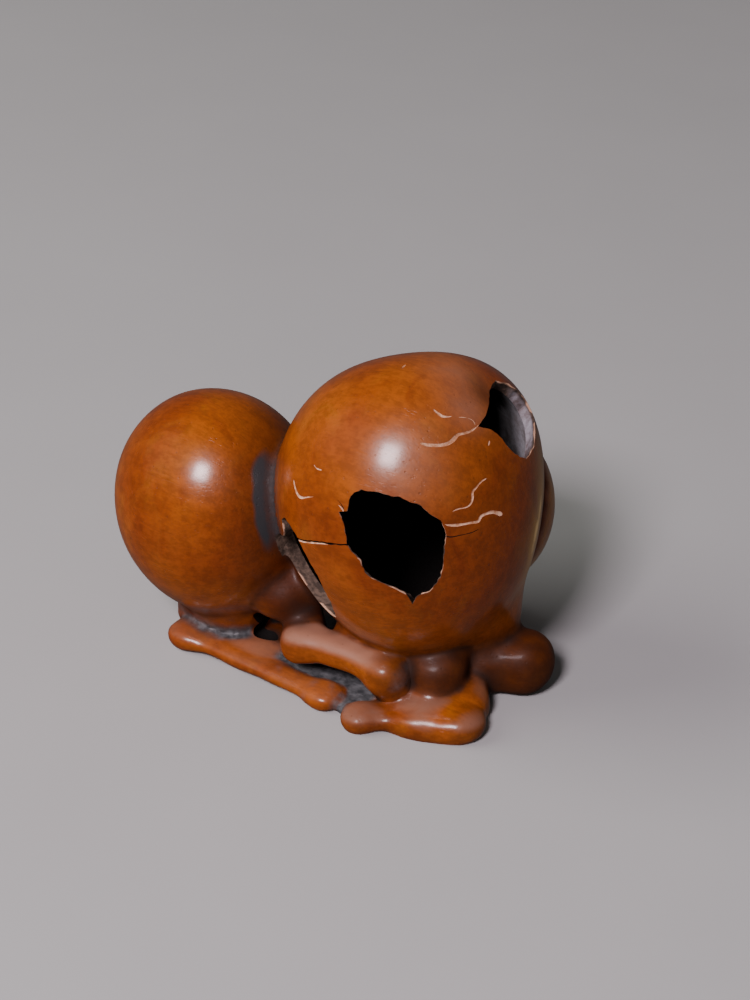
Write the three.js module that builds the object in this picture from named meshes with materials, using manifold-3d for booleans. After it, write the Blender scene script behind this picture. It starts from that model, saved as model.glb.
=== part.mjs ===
// A carved boxwood netsuke: two rounded domes, the larger one a thin hollow shell broken open in
// three places, resting on a low bed of knobbed bones. It is cut from one block of wood, so it is
// one solid. Millimetres, +Z up, the long side along X, the broken shell's main hole facing -Y.
// The origin is under the middle of the netsuke, on the surface it rests on.

import * as THREE from "three";
import { mergeVertices } from "three/addons/utils/BufferGeometryUtils.js";
import Module from "manifold-3d";

const wasm = await Module();
wasm.setup();

// Places are [x, y, z]. A swell is [bearing, height, share, spread]: the way it faces in degrees,
// the share of the radius it adds (or takes, if negative), and how wide it spreads in degrees.
const LARGE_DOME = {
  centre: [6.4, -1.2, 19.0],
  radii: [14.1, 14.1, 17.0],
  swells: [
    [60, 36, 0.1, 40],
    [122, 57, -0.095, 40],
    [-120, -36, -0.09, 40],
    [32, 0, -0.055, 40],
  ],
};
const SMALL_DOME = {
  centre: [-14.1, -6.0, 14.8],
  radii: [10.9, 10.9, 12.3],
  swells: [
    [-120, -36, -0.024, 45],
    [-177, 36, 0.031, 45],
    [60, 36, -0.017, 45],
  ],
};
const BACK_LOBE = { centre: [11.4, 7.8, 15.5], radii: [6.4, 6.4, 9.0] };
const NECK = { centre: [14.4, 0.6, 6.0], radii: [3.9, 3.9, 6.5] };
const FOOT = { centre: [-12.3, -6.6, 5.0], radii: [5.4, 5.0, 5.6] };
const BRIDGE = { centre: [-5.0, -7.2, 7.9], radii: [4.0, 4.0, 3.4] };
const STUMP = { centre: [-1.7, -8.5, 4.0], radii: [2.2, 2.5, 3.4] };
const HEEL = { centre: [4.5, -6.6, 4.6], radii: [3.5, 3.1, 2.7] };
const MOUND = { centre: [14.0, -9.0, 0.6], radii: [4.7, 4.6, 2.4] };
const BANK = { centre: [-7.2, -10.4, 0.3], radii: [4.8, 2.6, 1.7] };
const WALL = 1.3;

// The broken edges of the shell's holes. Each hole faces [bearing, height], and its edge is
// [turn, apart]: the turn round that direction from level, and how far off it the edge lies.
const MAIN_HOLE = {
  faces: [-67, 13],
  edge: [
    [158, 24.7], [148, 21.5], [128, 23.0], [101, 17.4], [80, 17.3], [56, 18.6], [30, 20.4],
    [12, 22.3], [-9, 21.0], [-34, 23.8], [-55, 22.4], [-65, 24.2], [-71, 18.6], [-92, 16.2],
    [-120, 16.6], [-146, 13.7], [-172, 17.8], [168, 19.1],
  ],
};
const UPPER_HOLE = {
  faces: [19, 43],
  edge: [
    [152, 22.4], [141, 16.9], [110, 13.4], [78, 12.8], [45, 16.7], [14, 20.2], [-7, 23.4],
    [-26, 23.6], [-45, 17.2], [-67, 13.7], [-96, 14.2], [-132, 16.2], [-175, 17.2], [160, 19.6],
  ],
};
const SIDE_HOLE = {
  faces: [-116, -13],
  edge: [
    [117, 21.3], [104, 18.9], [85, 16.6], [66, 14.1], [47, 13.4], [18, 13.9], [-13, 15.8],
    [-30, 18.8], [-49, 22.0], [-66, 25.2], [-81, 25.9], [-96, 25.2], [-115, 24.1], [-135, 24.5],
    [-153, 25.3], [-172, 25.3], [171, 23.5], [152, 16.4], [138, 16.5], [130, 20.6],
  ],
};

// A bone runs from one knob's middle to the other's, and bows sideways or upwards between them.
// Its height is a share of its width, because the lower ones are worn flat on top.
const BONES = [
  { from: [-14.3, -12.0, 0.7], to: [3.6, -13.0, 0.5], knobs: [2.1, 2.1], shaft: 1.45, bow: [0, 0, 0], height: 0.65 },
  { from: [8.6, -14.2, 0.5], to: [18.2, -10.2, 1.0], knobs: [2.0, 2.3], shaft: 1.6, bow: [-0.1, 0.4, 0], height: 0.7 },
  { from: [16.8, -7.0, 1.0], to: [15.0, -2.8, 2.0], knobs: [2.0, 2.2], shaft: 2.0, bow: [0, 0, 0], height: 0.9 },
  { from: [15.5, -1.8, 2.3], to: [19.6, 0.3, 2.7], knobs: [2.8, 3.1], shaft: 2.8, bow: [0, 0, 0], height: 1.0 },
  { from: [-0.8, -10.4, 4.3], to: [9.4, -10.2, 4.1], knobs: [2.0, 2.2], shaft: 1.65, bow: [0, 0, 0.6], height: 0.95 },
  { from: [12.6, -3.0, 4.6], to: [13.3, -6.9, 4.4], knobs: [2.4, 2.7], shaft: 2.5, bow: [0, 0, 0], height: 0.85 },
  { from: [-15.0, -7.6, 1.5], to: [-9.6, 5.6, 1.0], knobs: [2.3, 2.4], shaft: 1.6, bow: [-0.6, 0, 0], height: 0.9 },
  { from: [-4.0, 7.2, 0.9], to: [9.0, 9.6, 0.9], knobs: [2.3, 2.4], shaft: 1.6, bow: [0, -0.6, 0], height: 0.8 },
];
const BONE_SIDES = 12;
const BONE_RINGS = 11;
// A bone's ring is squarish: this power of its width and height, where 2 would be an ellipse.
const BONE_POWER = 2.5;

// The bed that the bones lie half sunk in: a flat slab with a wavy outline kept inside the bones.
const BED_OUTLINE = [
  [-14.4, -11.8], [-5.0, -12.0], [3.6, -13.0], [6.2, -13.9], [8.8, -14.0], [17.6, -9.6], [16.8, -3.4],
  [19.6, 1.4], [14.0, 6.4], [8.6, 9.2], [0.0, 8.0], [-8.8, 5.6], [-13.6, 0.4], [-15.0, -6.6],
];
const BED_TOP = 1.0;

// The passage for the cord runs from back to front between the domes, over the bed, and narrows
// to its small front mouth. Each ring is [y, x of its middle, z of its middle, half its width].
const CORD_GAP = [
  [11.5, -5.6, 4.5, 2.8],
  [-4.6, -5.6, 4.5, 2.7],
  [-7.6, -6.0, 3.6, 1.7],
  [-9.6, -6.3, 3.6, 1.5],
];

function toward([bearing, height]) {
  const b = THREE.MathUtils.degToRad(bearing);
  const h = THREE.MathUtils.degToRad(height);
  return new THREE.Vector3(Math.cos(b) * Math.cos(h), Math.sin(b) * Math.cos(h), Math.sin(h));
}

// A closed geometry as a manifold-3d solid.
function solidOf(geometry) {
  const bare = geometry.clone();
  bare.deleteAttribute("normal");
  bare.deleteAttribute("uv");
  const merged = mergeVertices(bare, 1e-4);
  return new wasm.Manifold(
    new wasm.Mesh({
      numProp: 3,
      vertProperties: merged.attributes.position.array,
      triVerts: new Uint32Array(merged.index.array),
    }),
  );
}

// Where a rounded mass has its surface in one direction, at a share of its full size.
function surfaceAt({ centre, radii, swells = [] }, direction, share = 1, inset = 0) {
  const factor = swells.reduce((sum, [bearing, height, swell, spread]) => {
    const apart = THREE.MathUtils.radToDeg(direction.angleTo(toward([bearing, height])));
    return sum + swell * Math.exp(-((apart / spread) ** 2));
  }, 1);
  return new THREE.Vector3(
    centre[0] + direction.x * share * (radii[0] * factor - inset),
    centre[1] + direction.y * share * (radii[1] * factor - inset),
    centre[2] + direction.z * share * (radii[2] * factor - inset),
  );
}

// A rounded mass: a sphere with its poles up and down, stretched to three radii and swollen.
function mass(form, columns, rows, inset = 0) {
  const sphere = new THREE.SphereGeometry(1, columns, rows).rotateX(Math.PI / 2);
  const at = sphere.attributes.position;
  const point = new THREE.Vector3();
  for (let i = 0; i < at.count; i++) {
    point.fromBufferAttribute(at, i).normalize();
    point.copy(surfaceAt(form, point, 1, inset));
    at.setXYZ(i, point.x, point.y, point.z);
  }
  return solidOf(sphere);
}

// A closed solid from rings of points, each ring running the same way round, with a point at
// each end.
function loft(first, rings, last) {
  const sides = rings[0].length;
  const points = [...rings.flat(), first, last];
  const faces = [];
  const top = (rings.length - 1) * sides;
  for (let j = 0; j < sides; j++) {
    const next = (j + 1) % sides;
    faces.push(points.length - 2, next, j);
    for (let p = 0; p < top; p += sides) {
      faces.push(p + j, p + next, p + sides + j, p + next, p + sides + next, p + sides + j);
    }
    faces.push(top + j, top + next, points.length - 1);
  }
  const geometry = new THREE.BufferGeometry().setFromPoints(points);
  geometry.setIndex(faces);
  return solidOf(geometry);
}

// A bone: a shaft between two rounded knobs, as rings along a path that bows from end to end.
function bone({ from, to, knobs, shaft, bow, height }) {
  const a = new THREE.Vector3(...from);
  const b = new THREE.Vector3(...to);
  const along = b.clone().sub(a);
  const length = along.length();
  along.normalize();
  const side = new THREE.Vector3(0, 0, 1).cross(along).normalize();
  const up = along.clone().cross(side);
  const ball = (radius, s) => Math.sqrt(Math.max(0, radius * radius - s * s));
  const thickness = (s) => {
    const ends = [ball(knobs[0], s), ball(knobs[1], s - length)];
    const closing = s < 0 ? ends[0] / knobs[0] : s > length ? ends[1] / knobs[1] : 1;
    return Math.pow(ends[0] ** 5 + ends[1] ** 5 + (shaft * closing) ** 5, 1 / 5);
  };
  const reach = length + knobs[0] + knobs[1];
  const rings = [];
  for (let k = 1; k < BONE_RINGS; k++) {
    const s = -knobs[0] + (reach * (1 - Math.cos((Math.PI * k) / BONE_RINGS))) / 2;
    const t = THREE.MathUtils.clamp(s / length, 0, 1);
    const middle = a.clone().addScaledVector(along, s);
    middle.addScaledVector(new THREE.Vector3(...bow), 4 * t * (1 - t));
    const ring = [];
    for (let j = 0; j < BONE_SIDES; j++) {
      const turn = (2 * Math.PI * j) / BONE_SIDES;
      const [c, n] = [Math.cos(turn), Math.sin(turn)];
      const squarish = (Math.abs(c) ** BONE_POWER + Math.abs(n) ** BONE_POWER) ** (-1 / BONE_POWER);
      const point = middle.clone().addScaledVector(side, thickness(s) * squarish * c);
      ring.push(point.addScaledVector(up, thickness(s) * squarish * n * height));
    }
    rings.push(ring);
  }
  return loft(
    a.clone().addScaledVector(along, -knobs[0]),
    rings,
    b.clone().addScaledVector(along, knobs[1]),
  );
}

// A hole's cutter: the hole's edge carried through the shell towards the dome's centre.
function holeCutter({ faces, edge }) {
  const facing = toward(faces);
  const east = new THREE.Vector3(0, 0, 1).cross(facing).normalize();
  const north = facing.clone().cross(east);
  const ringAt = (share) =>
    edge.toReversed().map(([turn, apart]) => {
      const t = THREE.MathUtils.degToRad(turn);
      const a = THREE.MathUtils.degToRad(apart);
      const direction = facing.clone().multiplyScalar(Math.cos(a));
      direction.addScaledVector(east, Math.sin(a) * Math.cos(t));
      direction.addScaledVector(north, Math.sin(a) * Math.sin(t));
      return surfaceAt(LARGE_DOME, direction, share);
    });
  return loft(
    surfaceAt(LARGE_DOME, facing, 0.7),
    [ringAt(0.7), ringAt(1.3)],
    surfaceAt(LARGE_DOME, facing, 1.3),
  );
}

function bed() {
  const outline = new THREE.CatmullRomCurve3(
    BED_OUTLINE.map(([x, y]) => new THREE.Vector3(x, y, 0)),
    true,
  );
  const shape = new THREE.Shape(outline.getPoints(52).slice(0, -1));
  return solidOf(new THREE.ExtrudeGeometry(shape, { depth: BED_TOP, bevelEnabled: false }));
}

// The cord's passage: squarish rings from the back to the front.
function cordGap() {
  const rings = CORD_GAP.map(([y, x, z, half]) => {
    const ring = [];
    for (let k = 0; k < 16; k++) {
      const turn = (2 * Math.PI * k) / 16;
      const [c, s] = [Math.cos(turn), Math.sin(turn)];
      const reach = half * Math.pow(c ** 4 + s ** 4, -1 / 4);
      ring.push(new THREE.Vector3(x + reach * c, y, z + reach * s));
    }
    return ring;
  });
  const end = ([y, x, z]) => new THREE.Vector3(x, y, z);
  return loft(end(CORD_GAP[0]), rings, end(CORD_GAP.at(-1)));
}

let carving = mass(LARGE_DOME, 46, 28);
for (const hole of [MAIN_HOLE, UPPER_HOLE, SIDE_HOLE]) carving = carving.subtract(holeCutter(hole));
carving = carving.add(mass(SMALL_DOME, 37, 21));
carving = carving.add(mass(BACK_LOBE, 24, 14)).add(mass(NECK, 16, 12)).add(mass(STUMP, 12, 8));
carving = carving.add(mass(BRIDGE, 16, 10)).add(mass(HEEL, 14, 8)).add(mass(MOUND, 16, 8));
carving = carving.add(mass(FOOT, 18, 11)).add(mass(BANK, 16, 8));
for (const each of BONES) carving = carving.add(bone(each));
carving = carving.add(bed());
carving = carving.subtract(cordGap());
carving = carving.subtract(mass(LARGE_DOME, 34, 19, WALL));
const underground = new THREE.BoxGeometry(100, 100, 20).translate(0, 0, -10);
carving = carving.subtract(solidOf(underground));

const { vertProperties, triVerts } = carving.getMesh();
const carved = new THREE.BufferGeometry();
carved.setAttribute("position", new THREE.BufferAttribute(vertProperties, 3));
carved.setIndex(new THREE.BufferAttribute(triVerts, 1));
carved.computeVertexNormals();
carved.computeBoundingBox();
const middle = carved.boundingBox.getCenter(new THREE.Vector3());
carved.translate(-middle.x, -middle.y, 0);

const wood = new THREE.MeshStandardMaterial({ color: 0xa8560f, roughness: 0.38, metalness: 0 });
const netsuke = new THREE.Mesh(carved, wood);
netsuke.name = "netsuke";

const group = new THREE.Group();
group.add(netsuke);

export default group;
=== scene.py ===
"""A carved boxwood netsuke: two rounded domes on a bed of knobbed bones, the larger one a broken shell."""

import bpy
import numpy as np
from mathutils import Matrix, Vector


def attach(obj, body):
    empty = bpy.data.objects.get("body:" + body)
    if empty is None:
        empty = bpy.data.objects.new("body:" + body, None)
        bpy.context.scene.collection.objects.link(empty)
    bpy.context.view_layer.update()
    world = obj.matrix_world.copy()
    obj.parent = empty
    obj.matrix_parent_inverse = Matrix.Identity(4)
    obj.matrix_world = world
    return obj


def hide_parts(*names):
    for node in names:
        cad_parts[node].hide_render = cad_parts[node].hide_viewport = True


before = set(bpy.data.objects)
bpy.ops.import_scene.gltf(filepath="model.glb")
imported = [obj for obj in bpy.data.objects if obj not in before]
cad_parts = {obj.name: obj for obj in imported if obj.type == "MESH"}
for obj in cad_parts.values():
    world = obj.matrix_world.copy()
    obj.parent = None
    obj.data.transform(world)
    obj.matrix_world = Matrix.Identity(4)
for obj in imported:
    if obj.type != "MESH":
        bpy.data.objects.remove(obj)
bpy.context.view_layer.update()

# The large dome
# The carver's main form: an egg-shaped dome, swollen towards the upper right and drawn in below,
# scraped smooth and polished. Sizes are in millimetres, in the carving's own frame, whose bounding
# box has its middle at BOX_MIDDLE; the whole mesh is moved there and made metres at the end.
BOX_MIDDLE = (-1.209, -1.293)
MM = 0.001
LARGE = {
    "centre": (6.4, -1.2, 19.0),
    "radii": (14.1, 14.1, 17.0),
    # Each swell is bearing, height, share of the radius and spread, all but the share in degrees.
    "swells": [
        (60, 36, 0.1, 40),
        (122, 57, -0.095, 40),
        (-120, -36, -0.09, 40),
        (32, 0, -0.055, 40),
        # The soft dimple beside the upper hole, and the worn edge that curls into it.
        (-9, 60.2, -0.012, 7),
        (24, 56, -0.026, 9),
    ],
}


def toward(bearing, height):
    """The unit vector at a bearing round Z and a height above level: (cos b cos h, sin b cos h, sin h)."""
    b, h = np.radians(bearing), np.radians(height)
    return np.stack([np.cos(b) * np.cos(h), np.sin(b) * np.cos(h), np.sin(h) + 0 * b], -1)


def swell_factor(directions, swells):
    """1 plus, for each swell, its share times exp(-(angle from it / spread) squared)."""
    factor = np.ones(directions.shape[:-1])
    for bearing, height, share, spread in swells:
        apart = np.degrees(np.arccos(np.clip(directions @ toward(bearing, height), -1, 1)))
        factor = factor + share * np.exp(-((apart / spread) ** 2))
    return factor


def on_dome(dome, directions, share=1.0, inset=0.0):
    """centre + share * direction * (radii * swell factor - inset), for an array of unit vectors."""
    factor = swell_factor(directions, dome.get("swells", ()))[..., None]
    reach = np.array(dome["radii"]) * factor - np.asarray(inset)[..., None]
    return np.array(dome["centre"]) + np.asarray(share)[..., None] * directions * reach


def skin(rings, first, last):
    """A closed skin of rings of points, [ring, side, xyz]: quads between rings, a fan at each end point."""
    count, sides = rings.shape[:2]
    side = np.arange(sides)
    after = (side + 1) % sides
    row = (np.arange(count - 1) * sides)[:, None]
    quads = np.stack([row + side, row + after, row + sides + after, row + sides + side], -1)
    top = (count - 1) * sides
    low_fan = np.stack([np.full(sides, count * sides), after, side], -1)
    high_fan = np.stack([top + side, top + after, np.full(sides, count * sides + 1)], -1)
    points = np.concatenate([rings.reshape(-1, 3), [first, last]])
    return points, quads.reshape(-1, 4).tolist() + low_fan.tolist() + high_fan.tolist()


def dome_skin(dome, columns, rows, inset=0.0):
    """The dome as a grid of bearing by height, closed at both poles."""
    bearing, height = np.meshgrid(
        np.arange(columns) * 360 / columns, -90 + 180 * np.arange(1, rows) / rows
    )
    poles = on_dome(dome, toward(np.zeros(2), np.array([-90, 90])), inset=inset)
    return skin(on_dome(dome, toward(bearing, height), inset=inset), *poles)


def dome_gap(points, dome):
    """How far points lie outside a dome: (|q| - swell factor) |q| / |q / radii|.

    Here q is the point, taken from the dome's centre and over its radii."""
    q = (points - np.array(dome["centre"])) / np.array(dome["radii"])
    size = np.linalg.norm(q, axis=1) + 1e-9
    factor = swell_factor(q / size[:, None], dome.get("swells", ()))
    return (size - factor) * size / np.linalg.norm(q / np.array(dome["radii"]), axis=1)


# The small dome and the lesser swellings
# A second, solid dome stands on a flared foot beside the large one. A lobe swells from the large
# dome's far side, a neck carries its right side down to the bones, and a bridge, a stump and a heel
# close the dark space between and under the domes.
SMALL = {
    "centre": (-14.1, -6.0, 14.8),
    "radii": (10.9, 10.9, 12.3),
    "swells": [(-120, -36, -0.024, 45), (-177, 36, 0.031, 45), (60, 36, -0.017, 45)],
}
LOBE = {"centre": (11.4, 7.8, 15.5), "radii": (6.4, 6.4, 9.0)}
NECK = {"centre": (14.4, 0.6, 6.0), "radii": (3.9, 3.9, 6.5)}
FOOT = {"centre": (-12.3, -6.6, 5.0), "radii": (5.4, 5.0, 5.6)}
BRIDGE = {"centre": (-5.0, -7.2, 7.9), "radii": (4.0, 4.0, 3.4)}
STUMP = {"centre": (-1.7, -8.5, 4.0), "radii": (2.2, 2.5, 3.4)}
HEEL = {"centre": (4.5, -6.6, 4.6), "radii": (3.5, 3.1, 2.7)}
MOUND = {"centre": (14.0, -9.0, 0.6), "radii": (4.7, 4.6, 2.4)}
BANK = {"centre": (-7.2, -10.4, 0.3), "radii": (4.8, 2.6, 1.7)}
# Each form comes with how softly it flows into the ones before it, in millimetres. The last two are
# low swells of the base, and are fused with the bones.
DOMES = [
    (LARGE, 0.0), (SMALL, 1.0), (LOBE, 0.3), (NECK, 3.0), (FOOT, 1.6), (BRIDGE, 1.6),
    (STUMP, 1.4), (HEEL, 1.0),
]
FLANKS = [(MOUND, 2.2), (BANK, 1.0)]

# The bones
# Long bones with a knob at each end, half sunk in the bed and worn flat on top. Each runs from one
# knob's middle to the other's, with two knob radii, a shaft radius, the way it bows, and its height
# over its width.
BONES = [
    ((-14.5, -11.8, 1.1), (3.6, -13.0, 0.8), (2.1, 1.7), 1.35, (0, 0, 0), 0.58),
    ((8.5, -14.15, 0.75), (18.0, -9.9, 1.15), (1.7, 2.3), 1.4, (-0.1, 0.3, 0), 0.66),
    ((16.6, -6.8, 1.2), (14.7, -2.8, 2.2), (2.0, 2.2), 2.0, (0, 0, 0), 0.85),
    ((15.5, -1.6, 2.7), (19.4, 0.45, 2.95), (2.8, 2.9), 2.7, (0, 0, 0), 1.0),
    ((-0.8, -10.4, 4.3), (9.4, -10.2, 4.1), (2.0, 2.2), 1.65, (0, 0, 0.6), 0.95),
    ((12.6, -3.0, 4.6), (13.3, -6.9, 4.4), (2.4, 2.7), 2.5, (0, 0, 0), 0.85),
    ((-15.4, -8.2, 1.9), (-9.6, 5.6, 1.0), (2.4, 2.4), 1.6, (-0.6, 0, 0), 0.95),
    ((-4.0, 7.2, 0.9), (9.0, 9.6, 0.9), (2.3, 2.4), 1.6, (0, -0.6, 0), 0.8),
]
BONE_SOFTNESS = 0.7
KNOB_SOFTNESS = 1.8
# A bone's ring is squarish: this power of its width and height, where 2 would be an ellipse.
SQUARE = 2.5


def bone_frame(bone):
    """A bone's start, unit direction, length, and the two unit vectors across it."""
    start, end = np.array(bone[0]), np.array(bone[1])
    length = np.linalg.norm(end - start)
    along = (end - start) / length
    side = np.cross((0, 0, 1), along)
    side /= np.linalg.norm(side)
    return start, along, length, side, np.cross(along, side)


def ball_reach(radius, s):
    """Half the width of a ball at s from its middle: the root of radius squared less s squared."""
    return np.sqrt(np.maximum(radius**2 - s**2, 0))


def bone_skin(bone, sides=28, rings=44):
    """A profile carried along a bowed line: its radius is the fifth-power sum of two balls and a shaft.

    Across it, the ring is squarish: |side|^SQUARE + |up / height|^SQUARE = radius^SQUARE."""
    start, along, length, side, up = bone_frame(bone)
    (first, last), shaft, bow, height = bone[2], bone[3], np.array(bone[4]), bone[5]
    reach = length + first + last
    s = -first + reach * (1 - np.cos(np.pi * np.arange(1, rings) / rings)) / 2
    t = np.clip(s / length, 0, 1)
    closing = np.where(s < 0, ball_reach(first, s) / first, 1)
    closing = np.where(s > length, ball_reach(last, s - length) / last, closing)
    parts = ball_reach(first, s) ** 5 + ball_reach(last, s - length) ** 5 + (shaft * closing) ** 5
    radius = parts**0.2
    middle = start + s[:, None] * along + (4 * t * (1 - t))[:, None] * bow
    turn = 2 * np.pi * np.arange(sides) / sides
    squarish = (np.abs(np.cos(turn)) ** SQUARE + np.abs(np.sin(turn)) ** SQUARE) ** (-1 / SQUARE)
    across = (squarish * np.cos(turn))[:, None] * side + (squarish * height * np.sin(turn))[:, None] * up
    points = middle[:, None] + radius[:, None, None] * across
    return skin(points, start - first * along, start + (length + last) * along)


def softly(a, b, softness):
    """The smaller of two distances, rounded where they are alike.

    It is min(a, b) less (softness - |a - b|) squared / (4 softness), where that bracket is above 0."""
    if softness == 0:
        return np.minimum(a, b)
    near = np.maximum(softness - np.abs(a - b), 0)
    return np.minimum(a, b) - near**2 / (4 * softness)


def bone_gap(points, bone):
    """How far points lie outside a bone: the soft union of two balls and a tube round its bowed line."""
    start, along, length, side, up = bone_frame(bone)
    (first, last), shaft, bow, height = bone[2], bone[3], np.array(bone[4]), bone[5]
    s = (points - start) @ along
    t = np.clip(s / length, 0, 1)
    off = points - start - (4 * t * (1 - t))[:, None] * bow
    across = (np.abs(off @ side) ** SQUARE + np.abs(off @ up / height) ** SQUARE) ** (1 / SQUARE)
    tube = np.hypot(across, s - np.clip(s, 0, length)) - shaft
    ends = [np.hypot(across, s) - first, np.hypot(across, s - length) - last]
    return softly(softly(tube, ends[0], KNOB_SOFTNESS), ends[1], KNOB_SOFTNESS)


# The bed
# The floor that the bones lie in: the bottom of the block, left as a low slab with a wavy edge and
# stained blue-black where the bones frame it. Its outline is a closed curve through these corners.
BED_CORNERS = np.array([
    (-14.4, -11.8), (-5.0, -12.0), (3.6, -13.0), (6.2, -13.9), (8.8, -14.0), (17.6, -9.6), (16.8, -3.4),
    (19.6, 1.4), (14.0, 6.4), (8.6, 9.2), (0.0, 8.0), (-8.8, 5.6), (-13.6, 0.4), (-15.0, -6.6),
])
BED_TOP = 1.0
BED_ROUNDING = 0.6
GROUND = 4.0


def closed_curve(corners, steps):
    """A closed smooth curve through corners: between each two it is cubic in t.

    A corner's slope is half the step from the corner before it to the one after."""
    t = (np.arange(steps) / steps)[None, :, None]
    before, here = np.roll(corners, 1, 0)[:, None], corners[:, None]
    after, beyond = np.roll(corners, -1, 0)[:, None], np.roll(corners, -2, 0)[:, None]
    cubic = (
        2 * here + (after - before) * t + (2 * before - 5 * here + 4 * after - beyond) * t**2
        + (3 * here - before - 3 * after + beyond) * t**3
    )
    return (cubic / 2).reshape(-1, corners.shape[1])


BED_EDGE = closed_curve(BED_CORNERS, 6)


def bed_skin():
    """The bed's outline carried from under the ground to its top, closed by fans from its middle."""
    level = np.array([-GROUND, BED_TOP])
    ring = np.broadcast_to(BED_EDGE, (2, *BED_EDGE.shape))
    rings = np.concatenate([ring, np.broadcast_to(level[:, None, None], (2, len(BED_EDGE), 1))], -1)
    middle = BED_EDGE.mean(0)
    return skin(rings, (*middle, -GROUND), (*middle, BED_TOP))


def bed_gap(points):
    """How far points lie outside the bed: the larger of how far past its edge and how far over its top."""
    a, b = BED_EDGE, np.roll(BED_EDGE, -1, 0)
    p = points[:, None, :2]
    run = b - a
    t = np.clip(((p - a) * run).sum(-1) / (run**2).sum(-1), 0, 1)
    apart = np.linalg.norm(p - a - t[..., None] * run, axis=-1).min(1)
    crosses = (a[:, 1] > p[..., 1]) != (b[:, 1] > p[..., 1])
    meets = a[:, 0] + (p[..., 1] - a[:, 1]) * run[:, 0] / np.where(run[:, 1] == 0, 1e-9, run[:, 1])
    inside = (crosses & (p[..., 0] < meets)).sum(1) % 2 == 1
    return -softly(np.where(inside, apart, -apart), BED_TOP - points[:, 2], BED_ROUNDING)


# The block as first carved
# Domes, bones and bed are one block of wood, so the forms are fused into one skin and every point
# is then pulled onto the soft union of them all, which rounds the inner corners as the knife did.
VOXEL = 0.34
DOMES_TO_BONES = 1.1
# The domes lie this far inside their formula, so that the carving stays within its solid.
DOME_INSET = 0.05


def mesh_object(name, points, faces, material=None):
    """A mesh object of points: in millimetres in the carving's own frame, and in metres for the floor."""
    mesh = bpy.data.meshes.new(name)
    mesh.from_pydata(points.tolist(), [], faces)
    made = bpy.data.objects.new(name, mesh)
    bpy.context.scene.collection.objects.link(made)
    if material is not None:
        mesh.materials.append(material)
    return made


def joined(skins):
    """Several skins as one list of points and one of faces, each skin's faces counted on from the last."""
    points, faces, count = [], [], 0
    for skin_points, skin_faces in skins:
        points.append(skin_points)
        faces += [[i + count for i in face] for face in skin_faces]
        count += len(skin_points)
    return np.concatenate(points), faces


def apply_modifiers(made):
    """The object's mesh as its modifiers leave it, with the modifiers gone."""
    bpy.context.view_layer.update()
    baked = bpy.data.meshes.new_from_object(made.evaluated_get(bpy.context.evaluated_depsgraph_get()))
    made.modifiers.clear()
    made.data = baked
    return made


def points_of(mesh):
    """A mesh's points as one array."""
    flat = np.empty(len(mesh.vertices) * 3, np.float32)
    mesh.vertices.foreach_get("co", flat)
    return flat.reshape(-1, 3).astype(float)


def ripple(points, size, seed):
    """A smooth random field, about -1 to 1: the mean of eight sine waves of about that size, times 1.6.

    Their directions, lengths and phases are random, from the seed."""
    random = np.random.default_rng(seed)
    ways = random.normal(size=(8, 3))
    lengths = np.linalg.norm(ways, axis=1)[:, None]
    ways *= (2 * np.pi / size) * random.uniform(0.7, 1.4, 8)[:, None] / lengths
    return np.sin(points @ ways.T + random.uniform(0, 2 * np.pi, 8)).mean(1) * 1.6


def carved_gap(points):
    """How far points lie outside the whole block: each form's gap taken softly with those before it.

    A ripple on the bones, and a fainter one on the domes, is the unevenness of work by hand."""
    bones = np.full(len(points), 99.0)
    for bone in BONES:
        bones = softly(bones, bone_gap(points, bone), BONE_SOFTNESS)
    bones = softly(bones, bed_gap(points), BONE_SOFTNESS)
    for dome, softness in FLANKS:
        bones = softly(bones, dome_gap(points, dome), softness)
    bones = bones + 0.07 * ripple(points, 5.0, 3) + 0.03 * ripple(points, 1.8, 4)
    domes = dome_gap(points, DOMES[0][0])
    for dome, softness in DOMES[1:]:
        domes = softly(domes, dome_gap(points, dome), softness)
    domes = domes + DOME_INSET + 0.03 * ripple(points, 9.0, 5)
    return softly(domes, bones, DOMES_TO_BONES)


skins = [dome_skin(dome, 160, 90) for dome, _ in DOMES + FLANKS] + [bone_skin(bone) for bone in BONES]
netsuke = mesh_object("netsuke_carving", *joined([*skins, bed_skin()]))
fuse = netsuke.modifiers.new("fuse", "REMESH")
fuse.mode = "VOXEL"
fuse.voxel_size = VOXEL
apply_modifiers(netsuke)

points = points_of(netsuke.data)
NUDGE = 0.01
LONGEST_PULL = 0.4
LEAST_SLOPE = 0.25
for _ in range(3):
    here = carved_gap(points)
    slope = np.stack([carved_gap(points + NUDGE * axis) - here for axis in np.eye(3)], -1) / NUDGE
    steep = np.maximum((slope**2).sum(1), LEAST_SLOPE)
    points = points - np.clip(here, -LONGEST_PULL, LONGEST_PULL)[:, None] * slope / steep[:, None]
netsuke.data.vertices.foreach_set("co", points.astype(np.float32).ravel())
netsuke.data.update()


# The polished boxwood
# Orange-brown boxwood, scraped smooth, waxed and worn by hands, with red and olive patches, a very
# fine grain, small dark pits and hair scratches. Blue-black stain lies in the low places of the bed.
def node(tree, kind, inputs=None, **settings):
    """A node with its settings, and each input given a value or joined to a socket."""
    made = tree.nodes.new(kind)
    for name, value in settings.items():
        setattr(made, name, value)
    for name, value in (inputs or {}).items():
        if isinstance(value, bpy.types.NodeSocket):
            tree.links.new(value, made.inputs[name])
        else:
            made.inputs[name].default_value = value
    return made


def noise(tree, place, scale, detail=3.0, roughness=0.55, bend=0.0):
    """Cloudy noise from 0 to 1 at so many waves a metre."""
    inputs = {"Vector": place, "Scale": scale, "Detail": detail, "Roughness": roughness}
    return node(tree, "ShaderNodeTexNoise", inputs | {"Distortion": bend}).outputs["Fac"]


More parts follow.
